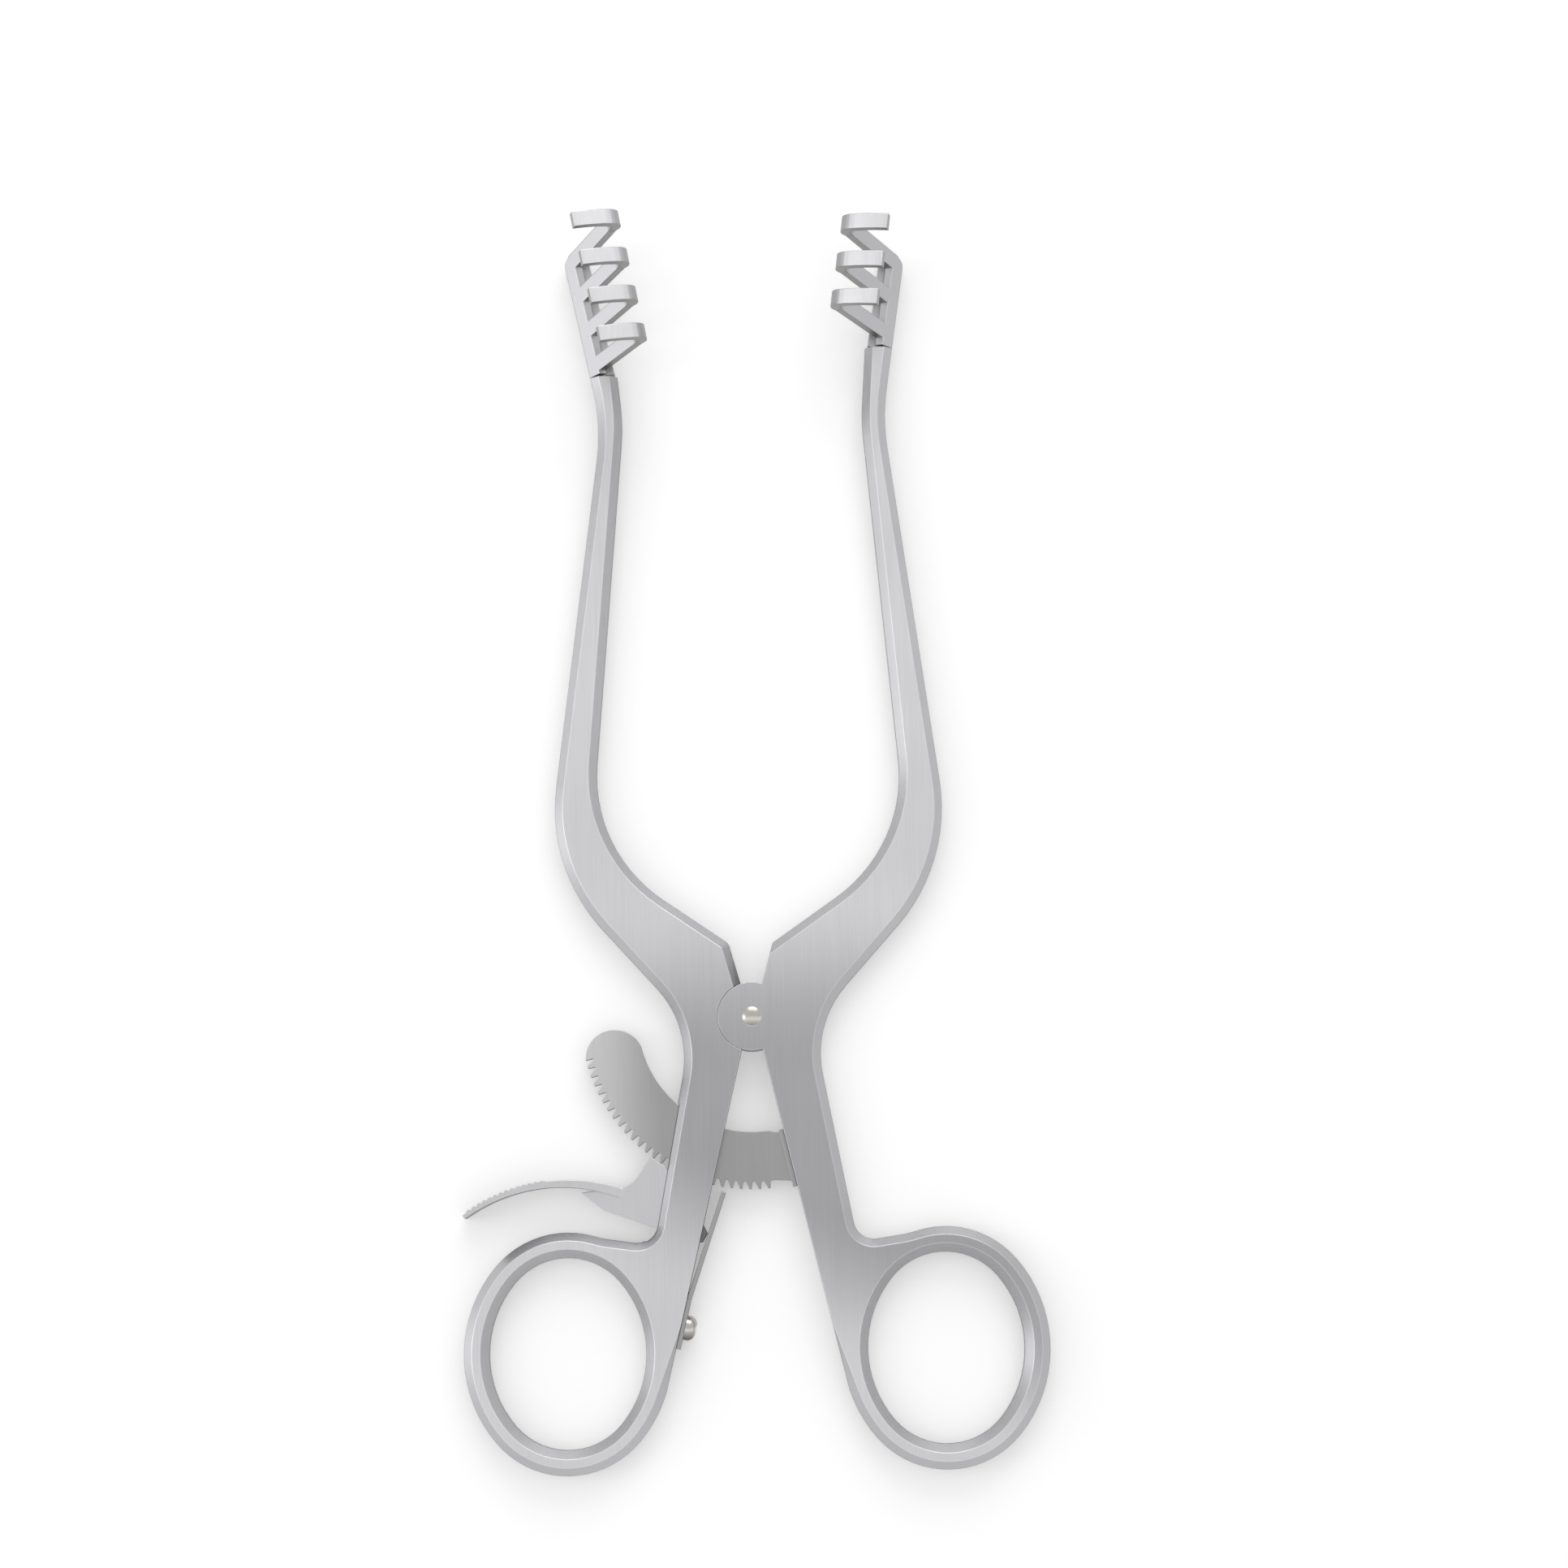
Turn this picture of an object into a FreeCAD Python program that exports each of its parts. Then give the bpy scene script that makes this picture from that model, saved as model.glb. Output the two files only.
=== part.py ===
"""Self retaining retractor: two arms on a screw hinge, held open by a ratchet bar and a sprung lever.

It lies on its back with the prongs up. The origin is on the hinge axis, in the plane it rests on.
X points to the right arm, Y to the prongs and Z up. Lengths are in millimetres, angles in degrees.
"""
import FreeCAD, Part
import math
import os

import Sketcher

# Driving sizes: name, value, what it is
SIZES = [
    ("arm_thickness", 4.4, "thickness of both arms and rings"),
    ("edge_bevel", 1.3, "bevel along the outer edges, the shanks and the rings"),
    ("ring_inner_bevel", 1.4, "bevel inside the finger rings"),
    ("hub_radius", 5.43, "radius of the half-thickness hinge discs"),
    ("hub_gap", 0.06, "running gap around a hinge disc"),
    ("layer_gap", 0.06, "running gap between the two hinge discs"),
    ("notch_angle", 18.0, "half angle of the open notch between the arms at the hinge"),
    ("throat_x", 3.5, "corner where the facing edges leave the hinge"),
    ("throat_y", 11.7, "height of that corner"),
    ("throat_radius", 1.6, "rounding of that corner on the left arm"),
    ("throat_overrun", 3.0, "the right arm's edge is made this much too long there, and cut back"),
    ("elbow_inner_x", 25.3, "corner of the inner elbow before rounding"),
    ("elbow_inner_y", 26.8, "height of that corner"),
    ("elbow_inner_radius", 24.3, "rounding of the inner elbow"),
    ("elbow_outer_x", 32.4, "corner of the outer elbow before rounding"),
    ("elbow_outer_y", 24.1, "height of that corner"),
    ("elbow_outer_radius", 28.7, "rounding of the outer elbow"),
    ("shank_neck_x", 19.3, "inner edge of the shank at its narrowest"),
    ("shank_neck_y", 96.4, "height of the narrowest place"),
    ("shank_neck_width", 3.5, "width of the shank there"),
    ("shank_neck_radius", 34.0, "rounding of the shank at its narrowest"),
    ("shank_end_x", 20.1, "inner edge of the shank at its end"),
    ("shank_end_width", 4.4, "width of the shank at its end"),
    ("left_shank_end_y", 104.0, "end of the left shank, where its rake begins"),
    ("right_shank_end_y", 108.1, "end of the right shank, where its rake begins"),
    ("waist_x", 9.6, "outer corner beside the hinge before rounding"),
    ("waist_y", -1.3, "height of that corner"),
    ("waist_radius", 16.5, "rounding of that corner"),
    ("valley_x", 16.1, "outer corner between the handle and the ring before rounding"),
    ("valley_y", -35.7, "height of that corner"),
    ("valley_radius", 3.2, "rounding of that corner"),
    ("ring_shoulder_angle", 21.0, "where the neck runs into the ring, from the ring's top"),
    ("ring_shoulder_radius", 16.0, "rounding between the neck and the ring"),
    ("ring_x", 29.7, "centre of the ring, from the middle line"),
    ("ring_y", -52.4, "height of the ring's centre"),
    ("ring_half_width", 16.3, "half width of the ring"),
    ("ring_half_height", 18.9, "half height of the ring"),
    ("ring_top_tightness", 1.5, "its top and bottom curve is this much tighter than its half width"),
    ("ring_band", 4.0, "width of the ring around the finger hole"),
    ("edge_end_angle", 10.0, "where the facing edge runs into the ring, below its middle"),
    ("facing_allowance", 2.0, "the facing edge is made this much too wide, and cut back"),
    ("facing_join_angle", 20.0, "where that allowance leaves the ring, below its middle"),
    ("facing_join_run", 18.0, "length over which it reaches its full width"),
    ("facing_cut_width", 12.0, "width of the cut, clear of the allowance"),
    ("facing_cut_overrun", 4.0, "the cut runs on this far past the end of the facing edge"),
    ("screw_radius", 1.5, "shaft of the hinge screw"),
    ("screw_fit", 0.03, "running clearance of the hinge screw in the left arm"),
    ("screw_head_radius", 3.0, "countersunk head of the hinge screw"),
    ("screw_head_rim", 0.3, "straight rim of that head"),
    ("screw_head_height", 1.5, "height of that head with its cone"),
    ("screw_head_recess", 0.15, "the head lies this far above the resting plane"),
    ("screw_dome_height", 0.45, "height of the peened dome on the front"),
    ("driver_slot_width", 0.7, "width of a screw's slot"),
    ("driver_slot_depth", 0.6, "depth of a screw's slot"),
    ("driver_slot_excess", 0.3, "a screw's slot is cut this far past its head"),
    ("rack_thickness", 2.0, "thickness of the ratchet bar"),
    ("rack_inner_radius", 18.2, "inner edge of the ratchet bar, about the hinge"),
    ("rack_root_radius", 26.0, "roots of the ratchet teeth, about the hinge"),
    ("tooth_depth", 1.2, "depth of the ratchet teeth, from crest to root"),
    ("tooth_pitch_angle", 3.15, "angle from tooth to tooth"),
    ("tooth_count", 26, "number of ratchet teeth"),
    ("tooth_foot", 0.85, "width of a tooth at its root, as a share of the pitch"),
    ("tooth_crest_start", 0.12, "near side of a tooth's crest, as a share of the pitch"),
    ("tooth_crest_end", 0.35, "far side of a tooth's crest, as a share of the pitch"),
    ("first_tooth_angle", -5.7, "first tooth, clockwise from straight down"),
    ("rack_end_excess", 0.1, "the free end is rounded by this much more than half the bar's width"),
    ("slot_clearance", 0.1, "clearance above and below the bar and the lever in the left arm"),
    ("slot_side_clearance", 0.3, "clearance of the bar's edges in its slot"),
    ("slot_start_angle", 6.0, "where the bar's slot begins, inside the handles' gap"),
    ("slot_end_angle", 54.0, "where the bar's slot ends, outside the handle"),
    ("foot_start", 13.0, "upper end of the bar's foot, along the right handle from the hinge"),
    ("foot_length", 9.2, "length of the bar's foot along the handle"),
    ("foot_flange", 0.7, "thickness of the shoulder against the handle"),
    ("foot_flange_height", 3.0, "height of that shoulder"),
    ("tenon_depth", 4.2, "depth of the bar's tenon in the handle"),
    ("tenon_margin", 0.8, "shoulder above and below the tenon"),
    ("rivet_radius", 0.7, "flush rivets through the tenon"),
    ("rivet_inset", 2.3, "depth of the rivets behind the handle's edge"),
    ("pin_gap", 4.03, "pin of the release lever, beyond the tooth crests along the handle"),
    ("pin_inset", 4.03, "depth of that pin behind the handle's facing edge"),
    ("pin_radius", 1.0, "radius of that pin"),
    ("pin_fit", 0.03, "running clearance of the lever on its pin"),
    ("lever_thickness", 2.0, "thickness of the lever where it carries the pawl"),
    ("pawl_clearance", 0.1, "the pawl's edge stands this far off the tooth crests"),
    ("pawl_start_angle", 30.8, "inner corner of the pawl's edge, clockwise from straight down"),
    ("pawl_end_angle", 36.6, "outer corner of the pawl's edge, clockwise from straight down"),
    ("pawl_back_angle", 26.7, "the pawl's back, inside the handle, clockwise from straight down"),
    ("pawl_back_depth", 1.37, "the pawl's back is this much farther from the hinge than its edge"),
    ("heel_root_inset", 1.75, "root of the heel beside the pin, behind the facing edge"),
    ("heel_reach", 3.33, "contact of the heel with the spring, beyond the pin along the handle"),
    ("heel_clearance", 0.05, "gap between the heel and the spring"),
    ("heel_length", 1.55, "from that contact to the heel's lower corner, along the handle"),
    ("heel_rise", 0.52, "that corner stands this far out of the handle"),
    ("heel_sole", 1.0, "width of the heel's lower end"),
    ("lever_under_reach", 4.2, "underside of the lever, beyond the pin along the handle"),
    ("lever_exit_inset", 7.55, "where that underside leaves the handle, behind the facing edge"),
    ("web_tip_x", -27.3, "where the lever's plate runs out inside the thumb strip"),
    ("web_tip_y", -27.3, "height of that place"),
    ("web_under_x", -23.8, "lower corner of the lever's plate under the thumb strip"),
    ("web_under_y", -30.1, "height of that place"),
    ("web_top_x", -19.3, "hollow between the pawl and the thumb strip"),
    ("web_top_y", -26.3, "height of that place"),
    ("web_radius", 3.0, "rounding of that hollow"),
    ("thumb_width", 4.2, "width of the thumb strip, across the instrument's thickness"),
    ("thumb_thickness", 1.5, "thickness of the thumb strip"),
    ("thumb_root_x", -20.5, "where the thumb strip leaves the lever"),
    ("thumb_root_y", -26.9, "height of that place on the strip's upper side"),
    ("thumb_tip_x", -46.0, "tip of the thumb strip"),
    ("thumb_tip_y", -30.6, "height of the tip"),
    ("thumb_arc_radius", 27.5, "curve of the thumb strip's upper side"),
    ("thumb_tip_thickness", 0.6, "thickness of the thumb strip at its tip"),
    ("thumb_flare", 8.5, "length from its root over which the thumb strip reaches its full width"),
    ("grip_count", 14, "number of small ridges across the thumb strip"),
    ("grip_pitch_angle", 2.0, "angle from ridge to ridge, about the strip's centre of curvature"),
    ("grip_start_angle", 1.5, "first ridge, from the strip's tip, as an angle about that centre"),
    ("grip_ridge_radius", 0.62, "rounding of a ridge"),
    ("cavity_top_reach", 2.6, "the lever's cavity starts this far before the tooth crests"),
    ("cavity_top_inset", 4.58, "inner edge of the cavity beside the pawl, behind the facing edge"),
    ("cavity_side_inset", 14.74, "the cavity is cut this far out, clear of the handle"),
    ("heel_opening_lead", 1.77, "the heel's opening starts this far before the pin"),
    ("heel_opening_inset", 2.3, "depth of that opening behind the facing edge"),
    ("heel_room", 1.73, "room beyond the heel's lower corner in its opening"),
    ("spring_thickness", 0.7, "thickness of the leaf spring"),
    ("spring_width", 3.2, "width of the leaf spring"),
    ("spring_end", 48.0, "clamped end of the spring, along the handle from the hinge"),
    ("spring_cut", 0.05, "gap between the spring's clamped foot and its blade, which bends"),
    ("spring_bend", 40.0, "where the spring leaves the handle, along it from the hinge"),
    ("spring_end_gap", 0.46, "gap along the handle between the tooth crests and the spring's free end"),
    ("spring_lift_angle", 5.5, "angle at which the spring stands off the handle"),
    ("spring_screw_place", 44.5, "the spring's screw, along the handle from the hinge"),
    ("spring_screw_radius", 0.9, "shaft of the spring's screw"),
    ("spring_screw_length", 3.5, "depth of that shaft in the handle"),
    ("spring_head_radius", 1.95, "head of the spring's screw"),
    ("spring_head_height", 1.7, "height of that head"),
    ("spring_head_rounding", 1.2, "rounding of that head"),
    ("comb_rise_angle", 45.0, "slope of the comb plate, from its outer edge inwards and up"),
    ("comb_thickness", 1.6, "thickness of the comb plate and the prongs"),
    ("spine_width", 2.3, "width of the comb's spine, along its slope"),
    ("spine_corner_radius", 1.6, "rounding of the spine's far corner"),
    ("under_bar_width", 4.0, "bar under the comb, which carries on from the shank"),
    ("under_bar_thickness", 2.2, "thickness of that bar"),
    ("prong_pitch", 5.8, "distance from prong to prong along the spine"),
    ("prong_width", 2.4, "width of a prong"),
    ("prong_root", 1.3, "place of a prong's root on the spine's slope"),
    ("left_leg_length", 13.95, "length of a left prong's leg, square to the spine, to its bend's corner"),
    ("right_leg_length", 14.5, "length of a right prong's leg, square to the spine, to its bend's corner"),
    ("hook_turn_angle", 95.0, "turn from the leg to the start of the hook"),
    ("hook_curl_angle", 27.0, "further turn along the curved hook"),
    ("hook_curve_radius", 14.5, "radius of the hook's curve, outside"),
    ("hook_radius", 3.5, "outer radius of the bend between the leg and the hook"),
    ("hook_skew_angle", 2.0, "the hook leans this much towards the tip of the rake on its way back"),
    ("left_prongs", 4, "prongs on the left rake"),
    ("right_prongs", 3, "prongs on the right rake"),
    ("left_rake_lean_angle", 12.0, "outward lean of the left rake"),
    ("right_rake_lean_angle", 8.6, "outward lean of the right rake"),
    ("left_first_root", 1.6, "nearest prong of the left rake, from the end of the shank"),
    ("right_first_root", 2.2, "nearest prong of the right rake, from the end of the shank"),
    ("left_first_lean_angle", 8.5, "lean of the nearest left leg towards the tip of the rake"),
    ("right_first_lean_angle", 11.0, "lean of the nearest right leg towards the tip of the rake"),
    ("left_fan_angle", 3.0, "further lean from leg to leg on the left rake"),
    ("right_fan_angle", 2.0, "further lean from leg to leg on the right rake"),
    ("spine_overhang", 1.2, "the spine runs on this far past the last root"),
]

doc = FreeCAD.newDocument("retractor")


class Size:
    """A length or angle of the sheet, or one worked out from several: its number and its formula."""

    def __init__(self, number, formula):
        self.number = number
        self.formula = formula

    def join(self, other, sign, number):
        return Size(number, f"({self.formula} {sign} {as_size(other).formula})")

    def __add__(self, other):
        return self.join(other, "+", self.number + as_size(other).number)

    def __sub__(self, other):
        return self.join(other, "-", self.number - as_size(other).number)

    def __mul__(self, other):
        return self.join(other, "*", self.number * as_size(other).number)

    def __truediv__(self, other):
        return self.join(other, "/", self.number / as_size(other).number)

    def __neg__(self):
        return Size(-self.number, f"(0 - {self.formula})")

    __radd__ = __add__
    __rmul__ = __mul__

    def __rsub__(self, other):
        return as_size(other) - self


def as_size(value):
    return value if isinstance(value, Size) else Size(value, repr(value))


def sine(angle):
    return Size(math.sin(math.radians(angle.number)), f"sin({angle.formula} * 1 deg)")


def cosine(angle):
    return Size(math.cos(math.radians(angle.number)), f"cos({angle.formula} * 1 deg)")


def tangent(angle):
    return Size(math.tan(math.radians(angle.number)), f"tan({angle.formula} * 1 deg)")


def slope_angle(across, along):
    """Angle in degrees, as a plain number, whose tangent is across over along."""
    return Size(math.degrees(math.atan(across.number / along.number)),
                f"(atan({across.formula} / {along.formula}) / 1 deg)")


def square_root(value):
    return Size(math.sqrt(value.number), f"sqrt({value.formula})")


def make_sheet():
    """The spreadsheet of driving sizes, and the same sizes for use below."""
    sheet = doc.addObject("Spreadsheet::Sheet", "Sizes")
    sizes = {}
    for row, (name, value, note) in enumerate(SIZES, start=1):
        sheet.set(f"A{row}", name)
        sheet.set(f"B{row}", str(value))
        sheet.set(f"C{row}", note)
        sheet.setAlias(f"B{row}", name)
        sizes[name] = Size(value, f"Sizes.{name}")
    doc.recompute()
    return sizes


SIZE = make_sheet()
FLAT = as_size(0)
QUARTER_TURN = as_size(90)
mid_height = SIZE["arm_thickness"] / 2
# The ring is an oval of four arcs, so its sides have a radius that makes them run into the top
ring_top_radius = SIZE["ring_half_width"] - SIZE["ring_top_tightness"]
ring_rise = SIZE["ring_half_height"] - ring_top_radius
ring_side_radius = ((SIZE["ring_half_width"] * SIZE["ring_half_width"] + ring_rise * ring_rise
                     - ring_top_radius * ring_top_radius)
                    / (2 * (SIZE["ring_half_width"] - ring_top_radius)))
ring_side_shift = ring_side_radius - SIZE["ring_half_width"]
rack_tip_radius = SIZE["rack_root_radius"] + SIZE["tooth_depth"]
# The facing edge of a handle runs from the hinge's notch to the side of the ring
edge_start_x = SIZE["hub_radius"] * sine(SIZE["notch_angle"])
edge_start_y = -(SIZE["hub_radius"] * cosine(SIZE["notch_angle"]))
edge_end_x = SIZE["ring_x"] + ring_side_shift - ring_side_radius * cosine(SIZE["edge_end_angle"])
edge_end_y = SIZE["ring_y"] - ring_side_radius * sine(SIZE["edge_end_angle"])
edge_lean = slope_angle(edge_end_x - edge_start_x, edge_start_y - edge_end_y)
# Places along that edge, from its start: the tooth crests, the lever's pin, its heel and heel's corner
crest_place = rack_tip_radius + edge_start_y
pin_place = crest_place + SIZE["pin_gap"]
heel_place = pin_place + SIZE["heel_reach"]
heel_end_place = heel_place + SIZE["heel_length"]


def bind(thing, attribute, size):
    """Ties a property of an object to the sheet."""
    thing.setExpression(attribute, as_size(size).formula)


def new_body(name):
    body = doc.addObject("PartDesign::Body", name)
    body.Label = name
    return body


def place(thing, x, y, z, turn):
    """Puts an object at a point, turned about Z."""
    for attribute, size in (("x", x), ("y", y), ("z", z)):
        bind(thing, f"Placement.Base.{attribute}", size)
    bind(thing, "Placement.Rotation.Axis.x", 0)
    bind(thing, "Placement.Rotation.Axis.y", 0)
    bind(thing, "Placement.Rotation.Axis.z", 1)
    bind(thing, "Placement.Rotation.Angle", turn)


def origin_feature(body, role):
    return [item for item in body.Origin.OriginFeatures if item.Role == role][0]


def new_sketch(body, name, plane="XY_Plane", support=None, offset=None, angles=None):
    """A sketch on a plane of its own body, moved by offset (x, y, z) and turned by yaw, pitch and roll."""
    sketch = body.newObject("Sketcher::SketchObject", name)
    sketch.AttachmentSupport = [(support or origin_feature(body, plane), "")]
    sketch.MapMode = "FlatFace"
    set_offset(sketch, offset, angles)
    return sketch


def set_offset(thing, offset, angles):
    for attribute, size in zip("xyz", offset or ()):
        bind(thing, f"AttachmentOffset.Base.{attribute}", size)
    for attribute, size in zip(("Yaw", "Pitch", "Roll"), angles or ()):
        bind(thing, f"AttachmentOffset.Rotation.{attribute}", size)


def pin_point(sketch, geometry, position, x, y, name):
    """Fixes a point of a sketch at x, y."""
    for axis_name, axis, size in (("X", -2, x), ("Y", -1, y)):
        if abs(size.number) < 1e-9:
            sketch.addConstraint(Sketcher.Constraint("PointOnObject", geometry, position, axis))
            continue
        rule = Sketcher.Constraint(f"Distance{axis_name}", -1, 1, geometry, position, size.number)
        index = sketch.addConstraint(rule)
        label = f"{name}{axis_name.lower()}"
        sketch.renameConstraint(index, label)
        bind(sketch, f"Constraints.{label}", size)


def draw_outline(sketch, corners, name="p"):
    """A closed outline. A corner is (x, y); (x, y, radius) ends an arc there, which turns left if the
    radius is positive and right if it is negative."""
    corners = [tuple(as_size(value) for value in corner) for corner in corners]
    ends = []
    for index, corner in enumerate(corners):
        before = corners[index - 1]
        start = FreeCAD.Vector(before[0].number, before[1].number, 0)
        end = FreeCAD.Vector(corner[0].number, corner[1].number, 0)
        if len(corner) == 2:
            geometry = sketch.addGeometry(Part.LineSegment(start, end))
            ends.append((geometry, 1, 2))
            continue
        radius = corner[2].number
        chord = end - start
        middle = start + chord / 2
        reach = math.sqrt(max(radius * radius - chord.Length ** 2 / 4, 0))
        left = FreeCAD.Vector(-chord.y, chord.x, 0).normalize()
        centre = middle + left * math.copysign(reach, radius)
        circle = Part.Circle(centre, FreeCAD.Vector(0, 0, 1), abs(radius))
        first, last = (start, end) if radius > 0 else (end, start)
        angles = [math.atan2(point.y - centre.y, point.x - centre.x) for point in (first, last)]
        geometry = sketch.addGeometry(Part.ArcOfCircle(circle, *angles))
        rule = sketch.addConstraint(Sketcher.Constraint("Radius", geometry, abs(radius)))
        sketch.renameConstraint(rule, f"{name}r{index}")
        bind(sketch, f"Constraints.{name}r{index}", corner[2] if radius > 0 else -corner[2])
        ends.append((geometry, 1, 2) if radius > 0 else (geometry, 2, 1))
    for index, corner in enumerate(corners):
        geometry, _, end = ends[index]
        following, start, _ = ends[(index + 1) % len(ends)]
        sketch.addConstraint(Sketcher.Constraint("Coincident", geometry, end, following, start))
        pin_point(sketch, geometry, end, corner[0], corner[1], f"{name}{index}")


def draw_circle(sketch, x, y, radius, name="c"):
    x, y, radius = as_size(x), as_size(y), as_size(radius)
    centre = FreeCAD.Vector(x.number, y.number, 0)
    circle = Part.Circle(centre, FreeCAD.Vector(0, 0, 1), radius.number)
    geometry = sketch.addGeometry(circle)
    pin_point(sketch, geometry, 3, x, y, name)
    rule = sketch.addConstraint(Sketcher.Constraint("Radius", geometry, radius.number))
    sketch.renameConstraint(rule, f"{name}radius")
    bind(sketch, f"Constraints.{name}radius", radius)


def extrude(body, kind, name, sketch, length, midplane=False, reverse=False):
    """A Pad or a Pocket. A Pad grows along the sketch's normal, a Pocket cuts against it."""
    feature = body.newObject(f"PartDesign::{kind}", name)
    feature.Profile = sketch
    bind(feature, "Length", length)
    feature.SideType = "Symmetric" if midplane else "One side"
    feature.Reversed = reverse
    doc.recompute()
    return feature


def spin(body, kind, name, sketch, axis="V_Axis"):
    """A full Revolution or Groove about an axis of its sketch."""
    feature = body.newObject(f"PartDesign::{kind}", name)
    feature.Profile = sketch
    feature.ReferenceAxis = (sketch, [axis])
    feature.Angle = 360
    doc.recompute()
    return feature


def edges_where(feature, test):
    edges = feature.Shape.Edges
    return [f"Edge{index}" for index, edge in enumerate(edges, start=1) if test(edge)]


def dress(body, kind, name, base, edges, size):
    """A Fillet or a Chamfer on edges of a feature."""
    feature = body.newObject(f"PartDesign::{kind}", name)
    feature.Base = (base, edges)
    bind(feature, "Radius" if kind == "Fillet" else "Size", size)
    doc.recompute()
    return feature


def upright_edge_at(x, y):
    """Test for a straight edge along Z through x, y."""
    def test(edge):
        points = [vertex.Point for vertex in edge.Vertexes]
        here = all(math.hypot(point.x - x, point.y - y) < 0.05 for point in points)
        return here and len(points) == 2 and abs(points[0].z - points[1].z) > 0.1
    return test


def round_corner(body, name, base, x, y, radius):
    """Rounds the upright edge at a corner of an outline."""
    edges = edges_where(base, upright_edge_at(as_size(x).number, as_size(y).number))
    return dress(body, "Fillet", name, base, edges, radius)


def midpoint(edge):
    return edge.valueAt((edge.FirstParameter + edge.LastParameter) / 2)


def ring_meeting_point(band, across, up):
    """Where a side arc of the ring runs into its top or bottom arc, band inside the outer edge."""
    span = ring_side_radius - ring_top_radius
    reach = ring_side_radius - band
    x = ring_side_shift * (reach / span - 1)
    y = ring_rise * reach / span
    return SIZE["ring_x"] + x * across, SIZE["ring_y"] + y * up


def make_arm_blank(name, side, shank_end_y):
    """An arm before its hinge is cut: shank, elbow, handle and ring. Side is 1 on the right."""
    body = new_body(name)
    shank_outer = SIZE["shank_neck_x"] + SIZE["shank_neck_width"]
    top, sides = ring_top_radius, ring_side_radius
    shoulder = SIZE["ring_shoulder_angle"]
    join = SIZE["facing_join_angle"]
    join_x = SIZE["ring_x"] + ring_side_shift - sides * cosine(join)
    join_y = SIZE["ring_y"] - sides * sine(join)
    run = SIZE["facing_join_run"]
    corners = [
        (edge_start_x, edge_start_y),
        on_facing_edge_of(1, FLAT, -SIZE["facing_allowance"]),
        (join_x - run * sine(join), join_y + run * cosine(join)),
        (join_x, join_y),
        ring_meeting_point(0, -1, -1) + (sides,),
        ring_meeting_point(0, 1, -1) + (top,),
        ring_meeting_point(0, 1, 1) + (sides,),
        (SIZE["ring_x"] - top * sine(shoulder),
         SIZE["ring_y"] + ring_rise + top * cosine(shoulder), top),
        (SIZE["valley_x"], SIZE["valley_y"]),
        (SIZE["waist_x"], SIZE["waist_y"]),
        (SIZE["elbow_outer_x"], SIZE["elbow_outer_y"]),
        (shank_outer, SIZE["shank_neck_y"]),
        (SIZE["shank_end_x"] + SIZE["shank_end_width"], shank_end_y),
        (SIZE["shank_end_x"], shank_end_y),
        (SIZE["shank_neck_x"], SIZE["shank_neck_y"]),
        (SIZE["elbow_inner_x"], SIZE["elbow_inner_y"]),
        inner_edge_end(side),
        (edge_start_x, -edge_start_y),
    ]
    sketch = new_sketch(body, f"{name}_outline")
    draw_outline(sketch, mirrored(corners, side))
    base = extrude(body, "Pad", f"{name}_bar", sketch, SIZE["arm_thickness"])
    rounded = ["elbow_inner", "elbow_outer", "waist", "valley"] + ["throat"] * (side < 0)
    for corner in rounded:
        base = round_corner(body, f"{name}_{corner}", base, SIZE[f"{corner}_x"] * side,
                            SIZE[f"{corner}_y"], SIZE[f"{corner}_radius"])
    for corner, x in (("neck_inner", SIZE["shank_neck_x"]), ("neck_outer", shank_outer)):
        base = round_corner(body, f"{name}_{corner}", base, x * side,
                            SIZE["shank_neck_y"], SIZE["shank_neck_radius"])
    x, y = corners[7][:2]
    return body, round_corner(body, f"{name}_shoulder", base, x * side, y,
                              SIZE["ring_shoulder_radius"])


def inner_edge_end(side):
    """Lower end of the inner edge that comes down from the elbow: the throat's corner on the left arm,
    and a little past it on the right arm, where it is cut back to the corner."""
    x, y = SIZE["throat_x"], SIZE["throat_y"]
    if side < 0:
        return x, y
    across, down = x - SIZE["elbow_inner_x"], y - SIZE["elbow_inner_y"]
    share = SIZE["throat_overrun"] / square_root(across * across + down * down)
    return x + across * share, y + down * share


def cut_facing_edge(body, name, side):
    """Cuts the handle's facing edge back to its line, so that it stays sharp and the ring's bevel runs
    out into it. On the right arm the cut goes on past the hinge to the throat."""
    low_x, low_y = on_facing_edge_of(1, (edge_start_y - edge_end_y) / cosine(edge_lean), FLAT)
    beyond = SIZE["facing_cut_overrun"]
    low_x, low_y = low_x + beyond * sine(edge_lean), low_y - beyond * cosine(edge_lean)
    width = SIZE["facing_cut_width"]
    corners = [(low_x - width, low_y), (low_x, low_y), (edge_start_x, edge_start_y),
               (edge_start_x, -edge_start_y)]
    if side > 0:
        rise = (SIZE["throat_y"] + SIZE["throat_overrun"] + edge_start_y) / (SIZE["throat_y"] + edge_start_y)
        corners += [(edge_start_x + (SIZE["throat_x"] - edge_start_x) * rise,
                     SIZE["throat_y"] + SIZE["throat_overrun"])]
    last_y = corners[-1][1]
    corners += [(edge_start_x - width, last_y)]
    sketch = new_sketch(body, f"{name}_facing_cut_outline", offset=(FLAT, FLAT, SIZE["arm_thickness"]))
    draw_outline(sketch, mirrored(corners, side))
    extrude(body, "Pocket", f"{name}_facing_cut", sketch, SIZE["arm_thickness"])


def mirrored(corners, side):
    """The corners as they are for side 1, or mirrored across the middle line for side -1."""
    return [(corner[0] * side, corner[1]) + tuple(radius * side for radius in corner[2:])
            for corner in corners]


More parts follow.
